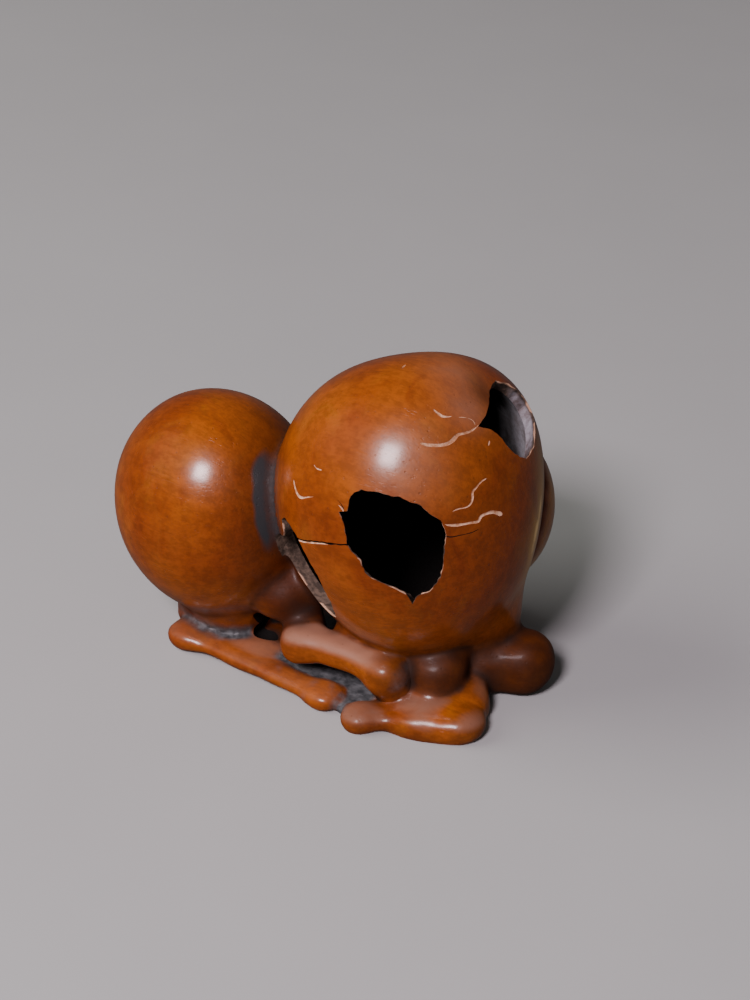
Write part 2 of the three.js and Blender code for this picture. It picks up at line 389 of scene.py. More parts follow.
def between(tree, value, low, high, first=0.0, last=1.0):
    """A value carried smoothly from first to last as it goes from low to high."""
    inputs = {"Value": value, "From Min": low, "From Max": high, "To Min": first, "To Max": last}
    return node(tree, "ShaderNodeMapRange", inputs, interpolation_type="SMOOTHSTEP").outputs["Result"]


def sums(tree, kind, a, b):
    """Two values added, multiplied or compared."""
    return node(tree, "ShaderNodeMath", {0: a, 1: b}, operation=kind).outputs[0]


def blended(tree, share, a, b, kind="MIX"):
    """Colour a turning into colour b by a share."""
    made = node(tree, "ShaderNodeMix", {0: share, 6: a, 7: b}, data_type="RGBA", blend_type=kind)
    return made.outputs[2]


def stretched(tree, place, turn, scale):
    """The place turned and scaled, so that a pattern on it runs in one direction."""
    inputs = {"Vector": place, "Rotation": turn, "Scale": scale}
    return node(tree, "ShaderNodeMapping", inputs).outputs["Vector"]


def attribute(tree, name):
    """One of the amounts worked out for every point of the carving."""
    return node(tree, "ShaderNodeAttribute", attribute_name=name).outputs["Fac"]


def new_group(name, inputs, outputs):
    """A shader node group with its named inputs and outputs."""
    group = bpy.data.node_groups.new(name, "ShaderNodeTree")
    for title, kind in inputs:
        group.interface.new_socket(title, in_out="INPUT", socket_type=kind)
    for title, kind in outputs:
        group.interface.new_socket(title, in_out="OUTPUT", socket_type=kind)
    return group, node(group, "NodeGroupInput").outputs, node(group, "NodeGroupOutput").inputs


# Fine streaks and pores along the grain, which runs across the block: a tone, and a height.
GRAIN_TURN = (0.1, -0.25, 0.2)
grain, given, asked = new_group("boxwood_grain", [("Place", "NodeSocketVector")],
                                [("Tone", "NodeSocketFloat"), ("Height", "NodeSocketFloat")])
along_grain = stretched(grain, given["Place"], GRAIN_TURN, (90, 900, 700))
streaks = noise(grain, along_grain, 1.0, 4.0, 0.6, 0.6)
mottle = noise(grain, given["Place"], 900, 4.0, 0.65)
tone = between(grain, streaks, 0.3, 0.7, -0.5, 0.5)
tone = sums(grain, "ADD", tone, between(grain, mottle, 0.3, 0.7, -0.5, 0.5))
pores = noise(grain, stretched(grain, given["Place"], GRAIN_TURN, (1500, 3600, 3000)), 1.0, 3.0, 0.6)
tone = sums(grain, "ADD", tone, between(grain, pores, 0.3, 0.7, -0.45, 0.45))
grain.links.new(tone, asked["Tone"])
grain.links.new(streaks, asked["Height"])


def material(name, roughness=0.5, specular=0.5, coat=0.0, coat_roughness=0.1):
    """A material, its node tree and its shader, with what is the same all over set on the shader."""
    made = bpy.data.materials.new(name)
    made.use_nodes = True
    shader = made.node_tree.nodes["Principled BSDF"]
    shader.inputs["Roughness"].default_value = roughness
    shader.inputs["Specular IOR Level"].default_value = specular
    shader.inputs["Coat Weight"].default_value = coat
    shader.inputs["Coat Roughness"].default_value = coat_roughness
    return made, made.node_tree, shader


def bumped(tree, shader, height, strength, distance):
    """A height that dents the surface as the light sees it."""
    inputs = {"Height": height, "Strength": strength, "Distance": distance}
    tree.links.new(node(tree, "ShaderNodeBump", inputs).outputs["Normal"], shader.inputs["Normal"])


RED_WOOD = (0.180, 0.033, 0.0020, 1)
ORANGE_WOOD = (0.265, 0.060, 0.0027, 1)
OLIVE_WOOD = (0.265, 0.080, 0.0040, 1)
DARK_WOOD = (0.130, 0.020, 0.0028, 1)
WORN_AND_SHEEN_PINK = (0.285, 0.125, 0.078, 1)
PIT_BROWN = (0.045, 0.014, 0.006, 1)
OLD_DIRT_AND_SHADE = (0.024, 0.0050, 0.0008, 1)
HIGHLIGHT_YELLOW = (0.38, 0.175, 0.018, 1)
HIGHLIGHT_PALE = (0.92, 0.60, 0.22, 1)
DIRT_AND_SHADE_BLACK = (0.016, 0.008, 0.006, 1)
INK_DARK = (0.032, 0.033, 0.036, 1)
INK_PALE = (0.115, 0.115, 0.122, 1)
polished, tree, shader = material("polished_boxwood", specular=0.20, coat_roughness=0.20)
place = node(tree, "ShaderNodeTexCoord").outputs["Object"]
lie = tree.nodes.new("ShaderNodeGroup")
lie.node_tree = grain
tree.links.new(place, lie.inputs["Place"])

# The wood's own colour: red and orange, with olive and dark clouds and a fine grain.
broad = noise(tree, place, 75, 3.0, 0.5, 0.4)
cloudy = noise(tree, stretched(tree, place, (0.4, 0.1, 0), (1, 1, 0.6)), 210, 5.0, 0.6, 0.8)
wood = blended(tree, between(tree, broad, 0.36, 0.64), RED_WOOD, ORANGE_WOOD)
wood = blended(tree, between(tree, cloudy, 0.52, 0.74, 0, 0.45), wood, OLIVE_WOOD)
wood = blended(tree, between(tree, cloudy, 0.46, 0.28, 0, 0.45), wood, DARK_WOOD)
streak = between(tree, lie.outputs["Tone"], -1.0, 1.0, 0.80, 1.16)
wood = blended(tree, 1.0, wood, streak, "MULTIPLY")

# What use and age have done to it, with painted light and shade: worn tops with a painted sheen, dark pits,
# old dirt and painted shade, a painted yellow highlight, dirt and painted shade in corners, and stain.
# Wear and painted sheen: paler and pinker.
worn_and_sheen = attribute(tree, "worn_and_sheen")
wear_and_sheen_share = sums(tree, "MULTIPLY", worn_and_sheen, between(tree, cloudy, 0.3, 0.6, 0.65, 1.0))
wood = blended(tree, wear_and_sheen_share, wood, WORN_AND_SHEEN_PINK)
cells = node(tree, "ShaderNodeTexVoronoi", {"Vector": place, "Scale": 1700.0, "Randomness": 1.0})
some = between(tree, noise(tree, place, 600, 2.0), 0.52, 0.66)
pits = sums(tree, "MULTIPLY", between(tree, cells.outputs["Distance"], 0.24, 0.08), some)
wood = blended(tree, sums(tree, "MULTIPLY", pits, 0.35), wood, PIT_BROWN)
# Old dirt and painted shade: a dark brown.
old_dirt_and_shade = attribute(tree, "old_dirt_and_shade")
wood = blended(tree, old_dirt_and_shade, wood, OLD_DIRT_AND_SHADE)
# A painted yellow highlight, pale at its core, along the dome's right edge and on the lobe.
rim_highlight = sums(tree, "MULTIPLY", attribute(tree, "rim_highlight"), between(tree, cloudy, 0.25, 0.6, 0.55, 1.0))
wood = blended(tree, between(tree, rim_highlight, 0.0, 0.55), wood, HIGHLIGHT_YELLOW)
wood = blended(tree, between(tree, rim_highlight, 0.55, 0.9), wood, HIGHLIGHT_PALE)
# Corners take dirt and painted shade, near black.
dirt_and_shade = attribute(tree, "dirt_and_shade")
dirt_and_shade_share = sums(tree, "MULTIPLY", dirt_and_shade, between(tree, cloudy, 0.25, 0.6, 0.75, 1.0))
wood = blended(tree, dirt_and_shade_share, wood, DIRT_AND_SHADE_BLACK)
edge = sums(tree, "MULTIPLY", noise(tree, place, 480, 4.0, 0.7), 0.5)
stained = between(tree, sums(tree, "ADD", attribute(tree, "stain"), edge), 0.32, 1.15)
specks = between(tree, noise(tree, place, 1100, 4.0, 0.6), 0.30, 0.75)
specks = sums(tree, "MULTIPLY", specks, attribute(tree, "trodden"))
wood = blended(tree, stained, wood, blended(tree, specks, INK_DARK, INK_PALE))
tree.links.new(wood, shader.inputs["Base Color"])

# It is duller, and has less wax, where dirt and painted shade lie in corners, where it is stained, where
# old dirt and painted shade lie, and where it is worn or has a painted sheen.
matt = between(tree, dirt_and_shade, 0.2, 0.9, 0, 0.45)
matt = sums(tree, "MAXIMUM", matt, sums(tree, "MULTIPLY", stained, 0.22))
matt = sums(tree, "MAXIMUM", matt, sums(tree, "MULTIPLY", old_dirt_and_shade, 0.34))
matt = sums(tree, "MAXIMUM", matt, sums(tree, "MULTIPLY", worn_and_sheen, 0.13))
gloss = sums(tree, "ADD", between(tree, cloudy, 0.3, 0.7, 0.29, 0.37), matt)
tree.links.new(gloss, shader.inputs["Roughness"])
wax = between(tree, dirt_and_shade, 0.25, 0.7, 0.55, 0.0)
wax = sums(tree, "MULTIPLY", wax, between(tree, stained, 0.2, 1.0, 1.0, 0.3))
wax = sums(tree, "MULTIPLY", wax, between(tree, old_dirt_and_shade, 0.1, 0.8, 1.0, 0.1))
wax = sums(tree, "MULTIPLY", wax, between(tree, worn_and_sheen, 0.1, 0.7, 1.0, 0.3))
tree.links.new(wax, shader.inputs["Coat Weight"])

# Hair scratches two ways, pits, grain and a faint roughness dent its surface.
hairs = noise(tree, stretched(tree, place, (0.5, 0.6, 0.9), (70, 2600, 2600)), 1.0, 2.0, 0.6)
hairs_across = noise(tree, stretched(tree, place, (-0.4, 0.7, -0.6), (90, 3000, 3000)), 1.0, 2.0, 0.6)
fine = between(tree, hairs, 0.62, 0.74, 0, -0.5)
fine = sums(tree, "ADD", fine, between(tree, hairs_across, 0.64, 0.76, 0, -0.5))
fine = sums(tree, "ADD", fine, sums(tree, "MULTIPLY", pits, -1.0))
fine = sums(tree, "ADD", fine, sums(tree, "MULTIPLY", lie.outputs["Height"], 0.5))
fine = sums(tree, "ADD", fine, sums(tree, "MULTIPLY", noise(tree, place, 420, 3.0), 0.9))
fine = sums(tree, "ADD", fine, sums(tree, "MULTIPLY", noise(tree, place, 2600, 2.0, 0.6), 0.45))
fine = sums(tree, "ADD", fine, sums(tree, "MULTIPLY", specks, sums(tree, "MULTIPLY", stained, 0.5)))
bumped(tree, shader, fine, 0.55, 0.00006)
netsuke.data.materials.append(polished)

# The hollow and the three holes
# The large dome is scooped out to a thin shell, and has broken through in three places. Each hole's
# edge is a ring of corners in degrees: the turn round the way the hole faces, and how far from it.
# Its cutter reaches out to a share of the dome's radius, and widens inwards by its undercut in mm.
WALL = 1.3
MAIN_HOLE = {
    "faces": (-67, 13),
    "corners": [
        (157, 24.3), (151, 21.2), (138, 23.2), (125, 22.5), (107, 18.8), (78, 17.3), (51, 18.3), (26, 21.8),
        (12, 22.4), (-14, 22.0), (-29, 23.8), (-46, 23.8), (-58, 22.3), (-67, 25.2), (-69, 20.0),
        (-85, 15.8), (-115, 15.0), (-132, 15.3), (-151, 14.0), (-174, 18.0), (164, 20.4),
    ],
    "outside": 1.3,
    "undercut": 1.25,
    "seed": 11,
}
UPPER_HOLE = {
    "faces": (19, 43),
    "corners": [
        (152, 22.4), (143, 17.4), (129, 13.9), (82, 13.0), (50, 15.4), (22, 16.4), (2, 18.6), (-14, 22.4),
        (-26, 21.6), (-51, 15.8), (-86, 14.6), (-123, 15.9), (-150, 16.2), (-170, 15.5), (165, 16.8),
    ],
    "outside": 1.3,
    "undercut": 0.5,
    "seed": 12,
}
SIDE_HOLE = {
    "faces": (-116, -13),
    "corners": [
        (117, 21.3), (104, 18.9), (85, 16.6), (66, 14.1), (47, 13.4), (18, 13.9), (-13, 15.8),
        (-30, 18.8), (-49, 22.0), (-66, 25.2), (-81, 25.9), (-96, 25.2), (-115, 24.1), (-135, 24.5),
        (-153, 25.3), (-172, 25.3), (171, 23.5), (152, 16.4), (138, 16.5), (130, 20.6),
    ],
    "outside": 1.06,
    "undercut": 0.35,
    "seed": 13,
}


def hole_skin(hole, steps=9):
    """Straight runs between the edge's corners, swept outwards through the wall.

    Points move away from the hole's middle by a ripple, by chips at the lip, and by the undercut."""
    facing = toward(*np.array(hole["faces"]))
    east = np.cross((0, 0, 1), facing)
    east /= np.linalg.norm(east)
    north = np.cross(facing, east)
    turn, apart = np.radians(np.array(hole["corners"])).T
    spread = np.sin(apart)[:, None] * np.stack([np.cos(turn), np.sin(turn)], -1)
    t = (np.arange(steps) / steps)[None, :, None]
    edge = (spread[:, None] * (1 - t) + np.roll(spread, -1, 0)[:, None] * t).reshape(-1, 2)[::-1]
    depth = np.sqrt(1 - (edge**2).sum(1))[:, None]
    directions = depth * facing + edge[:, :1] * east + edge[:, 1:] * north
    shares = [0.7, 0.86, 0.9, 0.915, 0.93, 0.945, 0.96, 0.972, 0.982, 0.99, 1.0, 1.012, hole["outside"]]
    shares = np.array(shares)
    rings = on_dome(LARGE, directions[None], shares[:, None] * np.ones(len(edge)))
    outwards = edge / np.linalg.norm(edge, axis=1)[:, None]
    outwards = outwards[:, :1] * east + outwards[:, 1:] * north
    flat = rings.reshape(-1, 3)
    ragged = 0.10 * ripple(flat, 2.6, hole["seed"]) + 0.07 * ripple(flat, 0.8, hole["seed"] + 20)
    chips = np.clip(0.35 + 1.2 * ripple(flat, 1.5, hole["seed"] + 40), 0, 1.2)
    lip = np.clip((shares - 0.983) / 0.017, 0, 1)[:, None]
    under = hole["undercut"] * np.clip((0.985 - shares) / 0.08, 0, 1)[:, None]
    moved = ragged.reshape(rings.shape[:2]) + 0.14 * lip * chips.reshape(rings.shape[:2]) + under
    rings = rings + moved[..., None] * outwards
    ends = on_dome(LARGE, np.stack([facing, facing]), np.array([0.7, hole["outside"]]))
    return skin(rings, *ends)


def cut(block, cutter):
    """The block less the cutter, whose own material lines the cut."""
    boolean = block.modifiers.new("cut", "BOOLEAN")
    boolean.operation = "DIFFERENCE"
    boolean.object = cutter
    boolean.solver = "MANIFOLD"
    boolean.material_mode = "TRANSFER"
    apply_modifiers(block)
    bpy.data.objects.remove(cutter)
    return block


# The broken wall is raw pale wood just under the skin and dirty grey-brown deeper in.
RAW_DARK = (0.34, 0.165, 0.095, 1)
RAW_PALE = (0.58, 0.36, 0.25, 1)
DIRT_DARK = (0.022, 0.013, 0.009, 1)
DIRT_PALE = (0.125, 0.082, 0.060, 1)
EDGE_LIT_DUST_DARK = (0.12, 0.085, 0.08, 1)
EDGE_LIT_DUST_PALE = (0.36, 0.34, 0.375, 1)
broken, tree, shader = material("broken_boxwood", roughness=0.82, specular=0.25)
place = node(tree, "ShaderNodeTexCoord").outputs["Object"]
lie = tree.nodes.new("ShaderNodeGroup")
lie.node_tree = grain
tree.links.new(place, lie.inputs["Place"])
patchy = noise(tree, place, 700, 4.0, 0.7)
hidden = sums(tree, "SUBTRACT", 1.0, attribute(tree, "fresh"))
below = sums(tree, "ADD", attribute(tree, "below"), hidden)
skin_deep = sums(tree, "SUBTRACT", below, sums(tree, "MULTIPLY", patchy, 0.40))
skin_deep = between(tree, skin_deep, -0.08, 0.10)
raw = blended(tree, patchy, RAW_DARK, RAW_PALE)
dirty = blended(tree, noise(tree, place, 350, 4.0, 0.6), DIRT_DARK, DIRT_PALE)
streak = between(tree, lie.outputs["Tone"], -0.6, 0.6, 0.55, 1.35)
dirty = blended(tree, 1.0, dirty, streak, "MULTIPLY")
# Near the upper hole the broken wall is grey with dust and painted light.
lit_dust_cloud = between(tree, noise(tree, place, 420, 5.0, 0.7), 0.35, 0.7)
grey = blended(tree, lit_dust_cloud, EDGE_LIT_DUST_DARK, EDGE_LIT_DUST_PALE)
dirty = blended(tree, attribute(tree, "dust_and_light"), dirty, grey)
tree.links.new(blended(tree, skin_deep, raw, dirty), shader.inputs["Base Color"])
rough = sums(tree, "ADD", patchy, sums(tree, "MULTIPLY", lie.outputs["Height"], 0.8))
bumped(tree, shader, rough, 0.8, 0.00016)

# The hollow's wall is near black, with age and as painted shade, and grey-blue, with dust and as painted
# light, where light falls in at the upper hole.
SOOT_AND_SHADE_DARK = (0.0028, 0.0022, 0.002, 1)
SOOT_AND_SHADE_PALE = (0.0075, 0.0055, 0.0048, 1)
LIT_DUST_DARK = (0.40, 0.35, 0.35, 1)
LIT_DUST_PALE = (0.88, 0.87, 0.93, 1)
hollow, tree, shader = material("stained_and_shaded_hollow", roughness=0.85, specular=0.15)
place = node(tree, "ShaderNodeTexCoord").outputs["Object"]
soot_and_shade = blended(tree, noise(tree, place, 260, 4.0, 0.6), SOOT_AND_SHADE_DARK, SOOT_AND_SHADE_PALE)
# Dust and painted light: pale grey-blue where light falls in at the upper hole.
lit_dust_cloud = between(tree, noise(tree, place, 380, 5.0, 0.7), 0.3, 0.7)
lit_dusty = blended(tree, lit_dust_cloud, LIT_DUST_DARK, LIT_DUST_PALE)
tree.links.new(blended(tree, attribute(tree, "dust_and_light"), soot_and_shade, lit_dusty), shader.inputs["Base Color"])
bumped(tree, shader, noise(tree, place, 900, 5.0, 0.7), 0.7, 0.0002)

for hole in (MAIN_HOLE, UPPER_HOLE):
    cut(netsuke, mesh_object("hole", *hole_skin(hole), broken))
# The side hole stops short of the small dome and of what joins it to the large one.
side_cutter = mesh_object("side_hole", *hole_skin(SIDE_HOLE), broken)
for form in (SMALL, BRIDGE, STUMP):
    cut(side_cutter, mesh_object("form", *dome_skin(form, 96, 48)))
cut(netsuke, side_cutter)
cut(netsuke, mesh_object("hollow", *dome_skin(LARGE, 120, 70, inset=WALL), hollow))

# The cord passage
# A passage runs through the foot between the domes, under the bridge and over the bed, from the
# back to the dark space behind the bones. Its rings are y, x, z and half the width.
CORD_GAP = np.array([
    (11.5, -5.6, 4.5, 2.8), (-4.6, -5.6, 4.5, 2.7), (-7.6, -6.0, 3.6, 1.7), (-9.6, -6.3, 3.6, 1.5),
])


def passage_skin(rings, sides=40, steps=24):
    """A squarish ring, |x|^4 + |z|^4 = half^4, carried along Y and drawn in from ring to ring."""
    place = np.linspace(0, len(rings) - 1, steps)
    y, x, z, half = (np.interp(place, np.arange(len(rings)), column) for column in rings.T)
    turn = 2 * np.pi * np.arange(sides) / sides
    squarish = (np.abs(np.cos(turn)) ** 4 + np.abs(np.sin(turn)) ** 4) ** -0.25
    across = x[:, None] + half[:, None] * squarish * np.cos(turn)
    height = z[:, None] + half[:, None] * squarish * np.sin(turn)
    points = np.stack([across, np.broadcast_to(y[:, None], across.shape), height], -1)
    return skin(points, (x[0], y[0], z[0]), (x[-1], y[-1], z[-1]))


cut(netsuke, mesh_object("passage", *passage_skin(CORD_GAP), hollow))
# A dark pocket goes in under the small dome's foot, in front of the passage.
MOUTH = {"centre": (-7.0, -8.0, 1.75), "radii": (1.45, 1.5, 1.3)}
cut(netsuke, mesh_object("mouth", *dome_skin(MOUTH, 32, 18), hollow))

# The crack and the scratches
# A crack has opened right through the wall from the side hole to the main one, and a hair crack goes
# on beyond it. Curling scratches and nicks have bared pale wood. Each line is corners of bearing and
# height on the large dome, with half the width at its start, middle and end, and its depth, in mm.
CRACK = [
    (-117.5, 1.8), (-109.7, 3.7), (-103.2, 6.0), (-97.5, 7.8), (-92.2, 8.8), (-88.2, 9.8), (-83.5, 10.8),
]
CRACK_HALF = 0.085
LINES = [
    ([(-44.7, 20.2), (-42.0, 19.5), (-37.5, 19.0), (-33.0, 18.8), (-29.2, 18.5), (-27.5, 19.8),
      (-25.0, 20.2), (-21.2, 19.8), (-17.7, 18.2), (-15.7, 17.0)], (0.10, 0.17, 0.27), 0.13),
    ([(-41.3, 23.8), (-37.8, 24.5), (-33.5, 24.5), (-31.2, 25.5), (-30.0, 27.3), (-29.5, 29.0),
      (-27.0, 30.2), (-23.7, 31.5), (-20.0, 31.8)], (0.05, 0.14, 0.10), 0.11),
    ([(-11.2, 50.0), (-18.8, 49.3), (-23.5, 49.3), (-29.0, 49.5), (-33.7, 48.0), (-38.0, 47.3),
      (-44.0, 47.5), (-49.7, 48.2), (-54.2, 49.0)], (0.08, 0.20, 0.16), 0.15),
    ([(-27.8, 56.8), (-34.3, 57.7), (-37.8, 59.8), (-39.8, 61.3)], (0.05, 0.15, 0.09), 0.12),
    ([(-122.0, 22.7), (-119.7, 21.0), (-116.2, 19.2), (-113.0, 19.2), (-108.8, 21.0), (-105.0, 22.5)],
     (0.13, 0.17, 0.05), 0.13),
    ([(-111.8, 32.5), (-108.8, 31.8), (-104.8, 32.3)], (0.04, 0.12, 0.05), 0.09),
    ([(-93.8, 84.0), (-105.0, 87.5)], (0.05, 0.13, 0.04), 0.08),
    ([(-10.7, 43.3), (-13.0, 41.7)], (0.04, 0.12, 0.04), 0.09),
    ([(-92.0, 23.6), (-89.4, 22.6), (-88.0, 21.2)], (0.03, 0.09, 0.05), 0.08),
]
CRACK_LIP = (
    [(-115.5, 1.75), (-109.7, 3.2), (-103.2, 5.5), (-97.5, 7.3), (-94.0, 8.0)], (0.09, 0.11, 0.04), 0.10
)
HAIRS = [
    ([(-14.5, 49.8), (-14.5, 52.5), (-18.0, 54.5), (-24.0, 55.9)], (0.07, 0.06, 0.03), 0.06),
    ([(-12.6, 50.0), (-16.5, 51.2), (-19.5, 51.6)], (0.05, 0.06, 0.03), 0.05),
]
DARK_HAIRS = [
    ([(-44.5, 16.0), (-41.5, 15.3), (-37.0, 15.3), (-32.5, 15.3), (-28.7, 15.8)], (0.09, 0.07, 0.03), 0.11),
    ([(-88.0, 22.4), (-90.8, 24.3), (-93.2, 25.2)], (0.06, 0.05, 0.03), 0.08),
]


def open_curve(corners, steps):
    """An open smooth curve through corners, made as the closed one is; its ends run straight on."""
    corners = np.array(corners, float)
    padded = np.concatenate([2 * corners[:1] - corners[1:2], corners, 2 * corners[-1:] - corners[-2:-1]])
    t = (np.arange(steps) / steps)[None, :, None]
    before, here, after, beyond = (padded[i:len(padded) - 3 + i][:, None] for i in range(4))
    cubic = (
        2 * here + (after - before) * t + (2 * before - 5 * here + 4 * after - beyond) * t**2
        + (3 * here - before - 3 * after + beyond) * t**3
    )
    return np.concatenate([(cubic / 2).reshape(-1, corners.shape[1]), corners[-1:]])


def line_frame(corners, steps, inset=0.0):
    """A line's points on the large dome, with the unit vectors outwards and sideways at each."""
    bearing, height = open_curve(corners, steps).T
    directions = toward(bearing, height)
    points = on_dome(LARGE, directions, inset=inset)
    out = directions / np.array(LARGE["radii"])
    out /= np.linalg.norm(out, axis=1)[:, None]
    along = np.gradient(points, axis=0)
    side = np.cross(out, along)
    return points, out, side / np.linalg.norm(side, axis=1)[:, None]


def groove_skin(corners, halves, depth, sides=10):
    """An oval, half wide by depth deep, carried along a line.

    Its half width goes from start to middle to end, and both waver and close at the ends."""
    points, out, side = line_frame(corners, 8)
    share = np.linspace(0, 1, len(points))
    half = np.interp(share, (0, 0.5, 1), halves) * (1 + 0.3 * ripple(points, 1.3, 51))
    close = np.sqrt(np.clip(np.minimum(share, 1 - share) * 9, 0.05, 1))
    deep = depth * close * (1 + 0.25 * ripple(points, 1.0, 52))
    half = half * close
    turn = 2 * np.pi * np.arange(sides) / sides
    rings = (
        points[:, None] + (half[:, None] * np.cos(turn))[..., None] * side[:, None]
        + (deep[:, None] * np.sin(turn))[..., None] * out[:, None]
    )
    return skin(rings, points[0], points[-1])


def slit_skin(corners, half):
    """A thin blade, half to each side of a line, wavering, from within the hollow to above the skin."""
    points, out, side = line_frame(corners, 10)
    points = points + 0.05 * ripple(points, 1.1, 61)[:, None] * side
    half = half * (1 + 0.4 * ripple(points, 0.9, 62))
    spread = np.array([(-1, -2.2), (1, -2.2), (1, 0.4), (-1, 0.4)])
    rings = (
        points[:, None] + (half[:, None] * spread[:, 0])[..., None] * side[:, None]
        + spread[:, 1][:, None] * out[:, None]
    )
    return skin(rings, rings[0].mean(0), rings[-1].mean(0))


# Freshly bared boxwood is pale and a little pink, in fine flecks.
BARED_DARK = (0.36, 0.155, 0.075, 1)
BARED_PALE = (0.66, 0.40, 0.27, 1)
bared, tree, shader = material("bared_boxwood", roughness=0.62, specular=0.3)
place = node(tree, "ShaderNodeTexCoord").outputs["Object"]
flecks = noise(tree, place, 1300, 4.0, 0.7)
pale = blended(tree, between(tree, flecks, 0.35, 0.65), BARED_DARK, BARED_PALE)
tree.links.new(pale, shader.inputs["Base Color"])
bumped(tree, shader, flecks, 0.6, 0.00012)

cut(netsuke, mesh_object("lip", *groove_skin(*CRACK_LIP), bared))
cut(netsuke, mesh_object("lines", *joined([groove_skin(*line) for line in LINES]), bared))
for hair in HAIRS:
    cut(netsuke, mesh_object("hair", *groove_skin(*hair), bared))
cut(netsuke, mesh_object("dark_hairs", *joined([groove_skin(*line) for line in DARK_HAIRS]), hollow))
cut(netsuke, mesh_object("crack", *slit_skin(CRACK, CRACK_HALF), hollow))

# The finished carving
# The underside is rubbed flat to stand on. Then every point is told how deep in a corner it lies,
# how much stain, dust and wear it has, and how far below the large dome's skin it is.
FAR, DEEP = 60, -20
ground = [[(-FAR, -FAR, h), (FAR, -FAR, h), (FAR, FAR, h), (-FAR, FAR, h)] for h in (DEEP, 0)]
cut(netsuke, mesh_object("ground", *skin(np.array(ground, float), (0, 0, DEEP), (0, 0, 0)), polished))
points = points_of(netsuke.data)
normals = np.empty(len(points) * 3, np.float32)
netsuke.data.vertex_normals.foreach_get("vector", normals)
facing_up = normals.reshape(-1, 3)[:, 2]
x, y, z = points.T


def smooth(values, low, high):
    """0 at low and below, 1 at high and above, and 3 t^2 - 2 t^3 between."""
    t = np.clip((values - low) / (high - low), 0, 1)
    return t * t * (3 - 2 * t)


def tell(name, values):
    """Keeps an amount for every point of the carving."""
    layer = netsuke.data.attributes.new(name, "FLOAT", "POINT")
    layer.data.foreach_set("value", np.clip(values, 0, None).astype(np.float32))


# The bones that show in front, by their places in the list.
LEFT, RIGHT, RIGHT_KNOB, FAR_END, UPPER, BLUNT = range(6)
bone_gaps = np.stack([bone_gap(points, bone) for bone in BONES])
DOME_FORMS = (LARGE, SMALL, LOBE, NECK, FOOT, BRIDGE, STUMP, HEEL, MOUND, BANK)
dome_gaps = [dome_gap(points, form) for form in DOME_FORMS]
large_gap, small_gap, lobe_gap, neck_gap, foot_gap = dome_gaps[:5]
bridge_gap, stump_gap, heel_gap, mound_gap, bank_gap = dome_gaps[5:]
right_gap = np.minimum(np.minimum(bone_gaps[RIGHT], bone_gaps[RIGHT_KNOB]), mound_gap)

# Corners are painted dark, for dirt and as painted shade, where the second nearest form is close too.
families = [
    np.minimum(large_gap, neck_gap), lobe_gap, small_gap, foot_gap, bridge_gap, stump_gap, heel_gap,
    right_gap, bone_gaps[LEFT], *bone_gaps[FAR_END:],
]
second = np.sort(np.stack(families), 0)[1]
uneven = 0.5 + 0.5 * ripple(points, 2.2, 71)
dirt_and_shade = np.exp(-np.maximum(second - 0.15, 0) / (0.45 + 0.35 * uneven)) * (0.8 + 0.2 * uneven)
dirt_and_shade = np.where(large_gap < -0.4, 0, dirt_and_shade)
# Painted shadow makes the deepest places black: the gap under the small dome's foot, and between the bones'
# ends.
# Each is a place and how far the painted shadow reaches from it, in millimetres.
PAINTED_SHADOW_PLACES = np.array([
    (-6.9, -7.5, 1.3, 1.7), (11.6, -9.6, 3.6, 1.45), (11.6, -9.0, 4.9, 1.45),
    (-0.4, -8.0, 5.0, 1.7), (9.4, -12.0, 2.4, 0.8), (11.2, -10.9, 2.5, 0.9),
])
away = np.linalg.norm(points[:, None] - PAINTED_SHADOW_PLACES[:, :3], axis=-1) / PAINTED_SHADOW_PLACES[:, 3]
dirt_and_shade = np.maximum(dirt_and_shade, np.exp(-(away**4)).max(1))
# Painted shade darkens the stump low down under the domes.
stump_shade = smooth(0.9 - stump_gap, 0, 0.7) * smooth(9.0 - z, 0, 4)
dirt_and_shade = np.maximum(dirt_and_shade, 0.85 * stump_shade)

# Blue-black stain lies on the bed between the bones, round the small dome's foot, in a band
# between the domes, and at the bones' ends.
near_bone = bone_gaps.min(0) + 0.15 * ripple(points, 1.6, 72)
bed_stain = smooth(near_bone, -0.15, 0.6) * smooth(2.9 - z, 0, 0.9)
bed_stain = bed_stain * smooth(9.8 - x, 0, 2.6) * smooth(x, -5.2, -3.0) * smooth(3 - y, 0, 5)
from_foot = np.minimum(foot_gap, small_gap) + 0.25 * ripple(points, 2.4, 74)
foot_stain = smooth(near_bone, -0.5, 0.3) * smooth(1.8 - from_foot, 0, 1.2) * smooth(3.9 - z, 0, 1.8)
foot_stain = foot_stain * smooth(-5.5 - x, 0, 2) * smooth(-1 - y, 0, 4)
foot_stain = foot_stain * (0.8 * smooth(away[:, 0], 1.0, 1.5))
band = smooth(2.6 - large_gap + 0.3 * ripple(points, 3.0, 73), 0, 0.9)
band = band * (small_gap < 0.6) * smooth(z, 13.5, 17)
band = band * smooth(25.2 - z, 0, 2.5) * smooth(-5 - y, 0, 3)
band = band * (0.62 + 0.38 * smooth(large_gap, 0.9, 1.5))
front_ends = 0.55 * smooth(x, 4.7, 5.3) * smooth(7.0 - x, 0, 0.6)
front_ends = front_ends * smooth(-y, 11.5, 12.5) * smooth(2.4 - z, 0, 0.6)
upper_end = 0.5 * smooth(x, 10.0, 11.4) * smooth(0.2 - bone_gaps[UPPER], 0.0, 0.3)
tell("stain", np.maximum.reduce([bed_stain, foot_stain, band, front_ends, upper_end]))

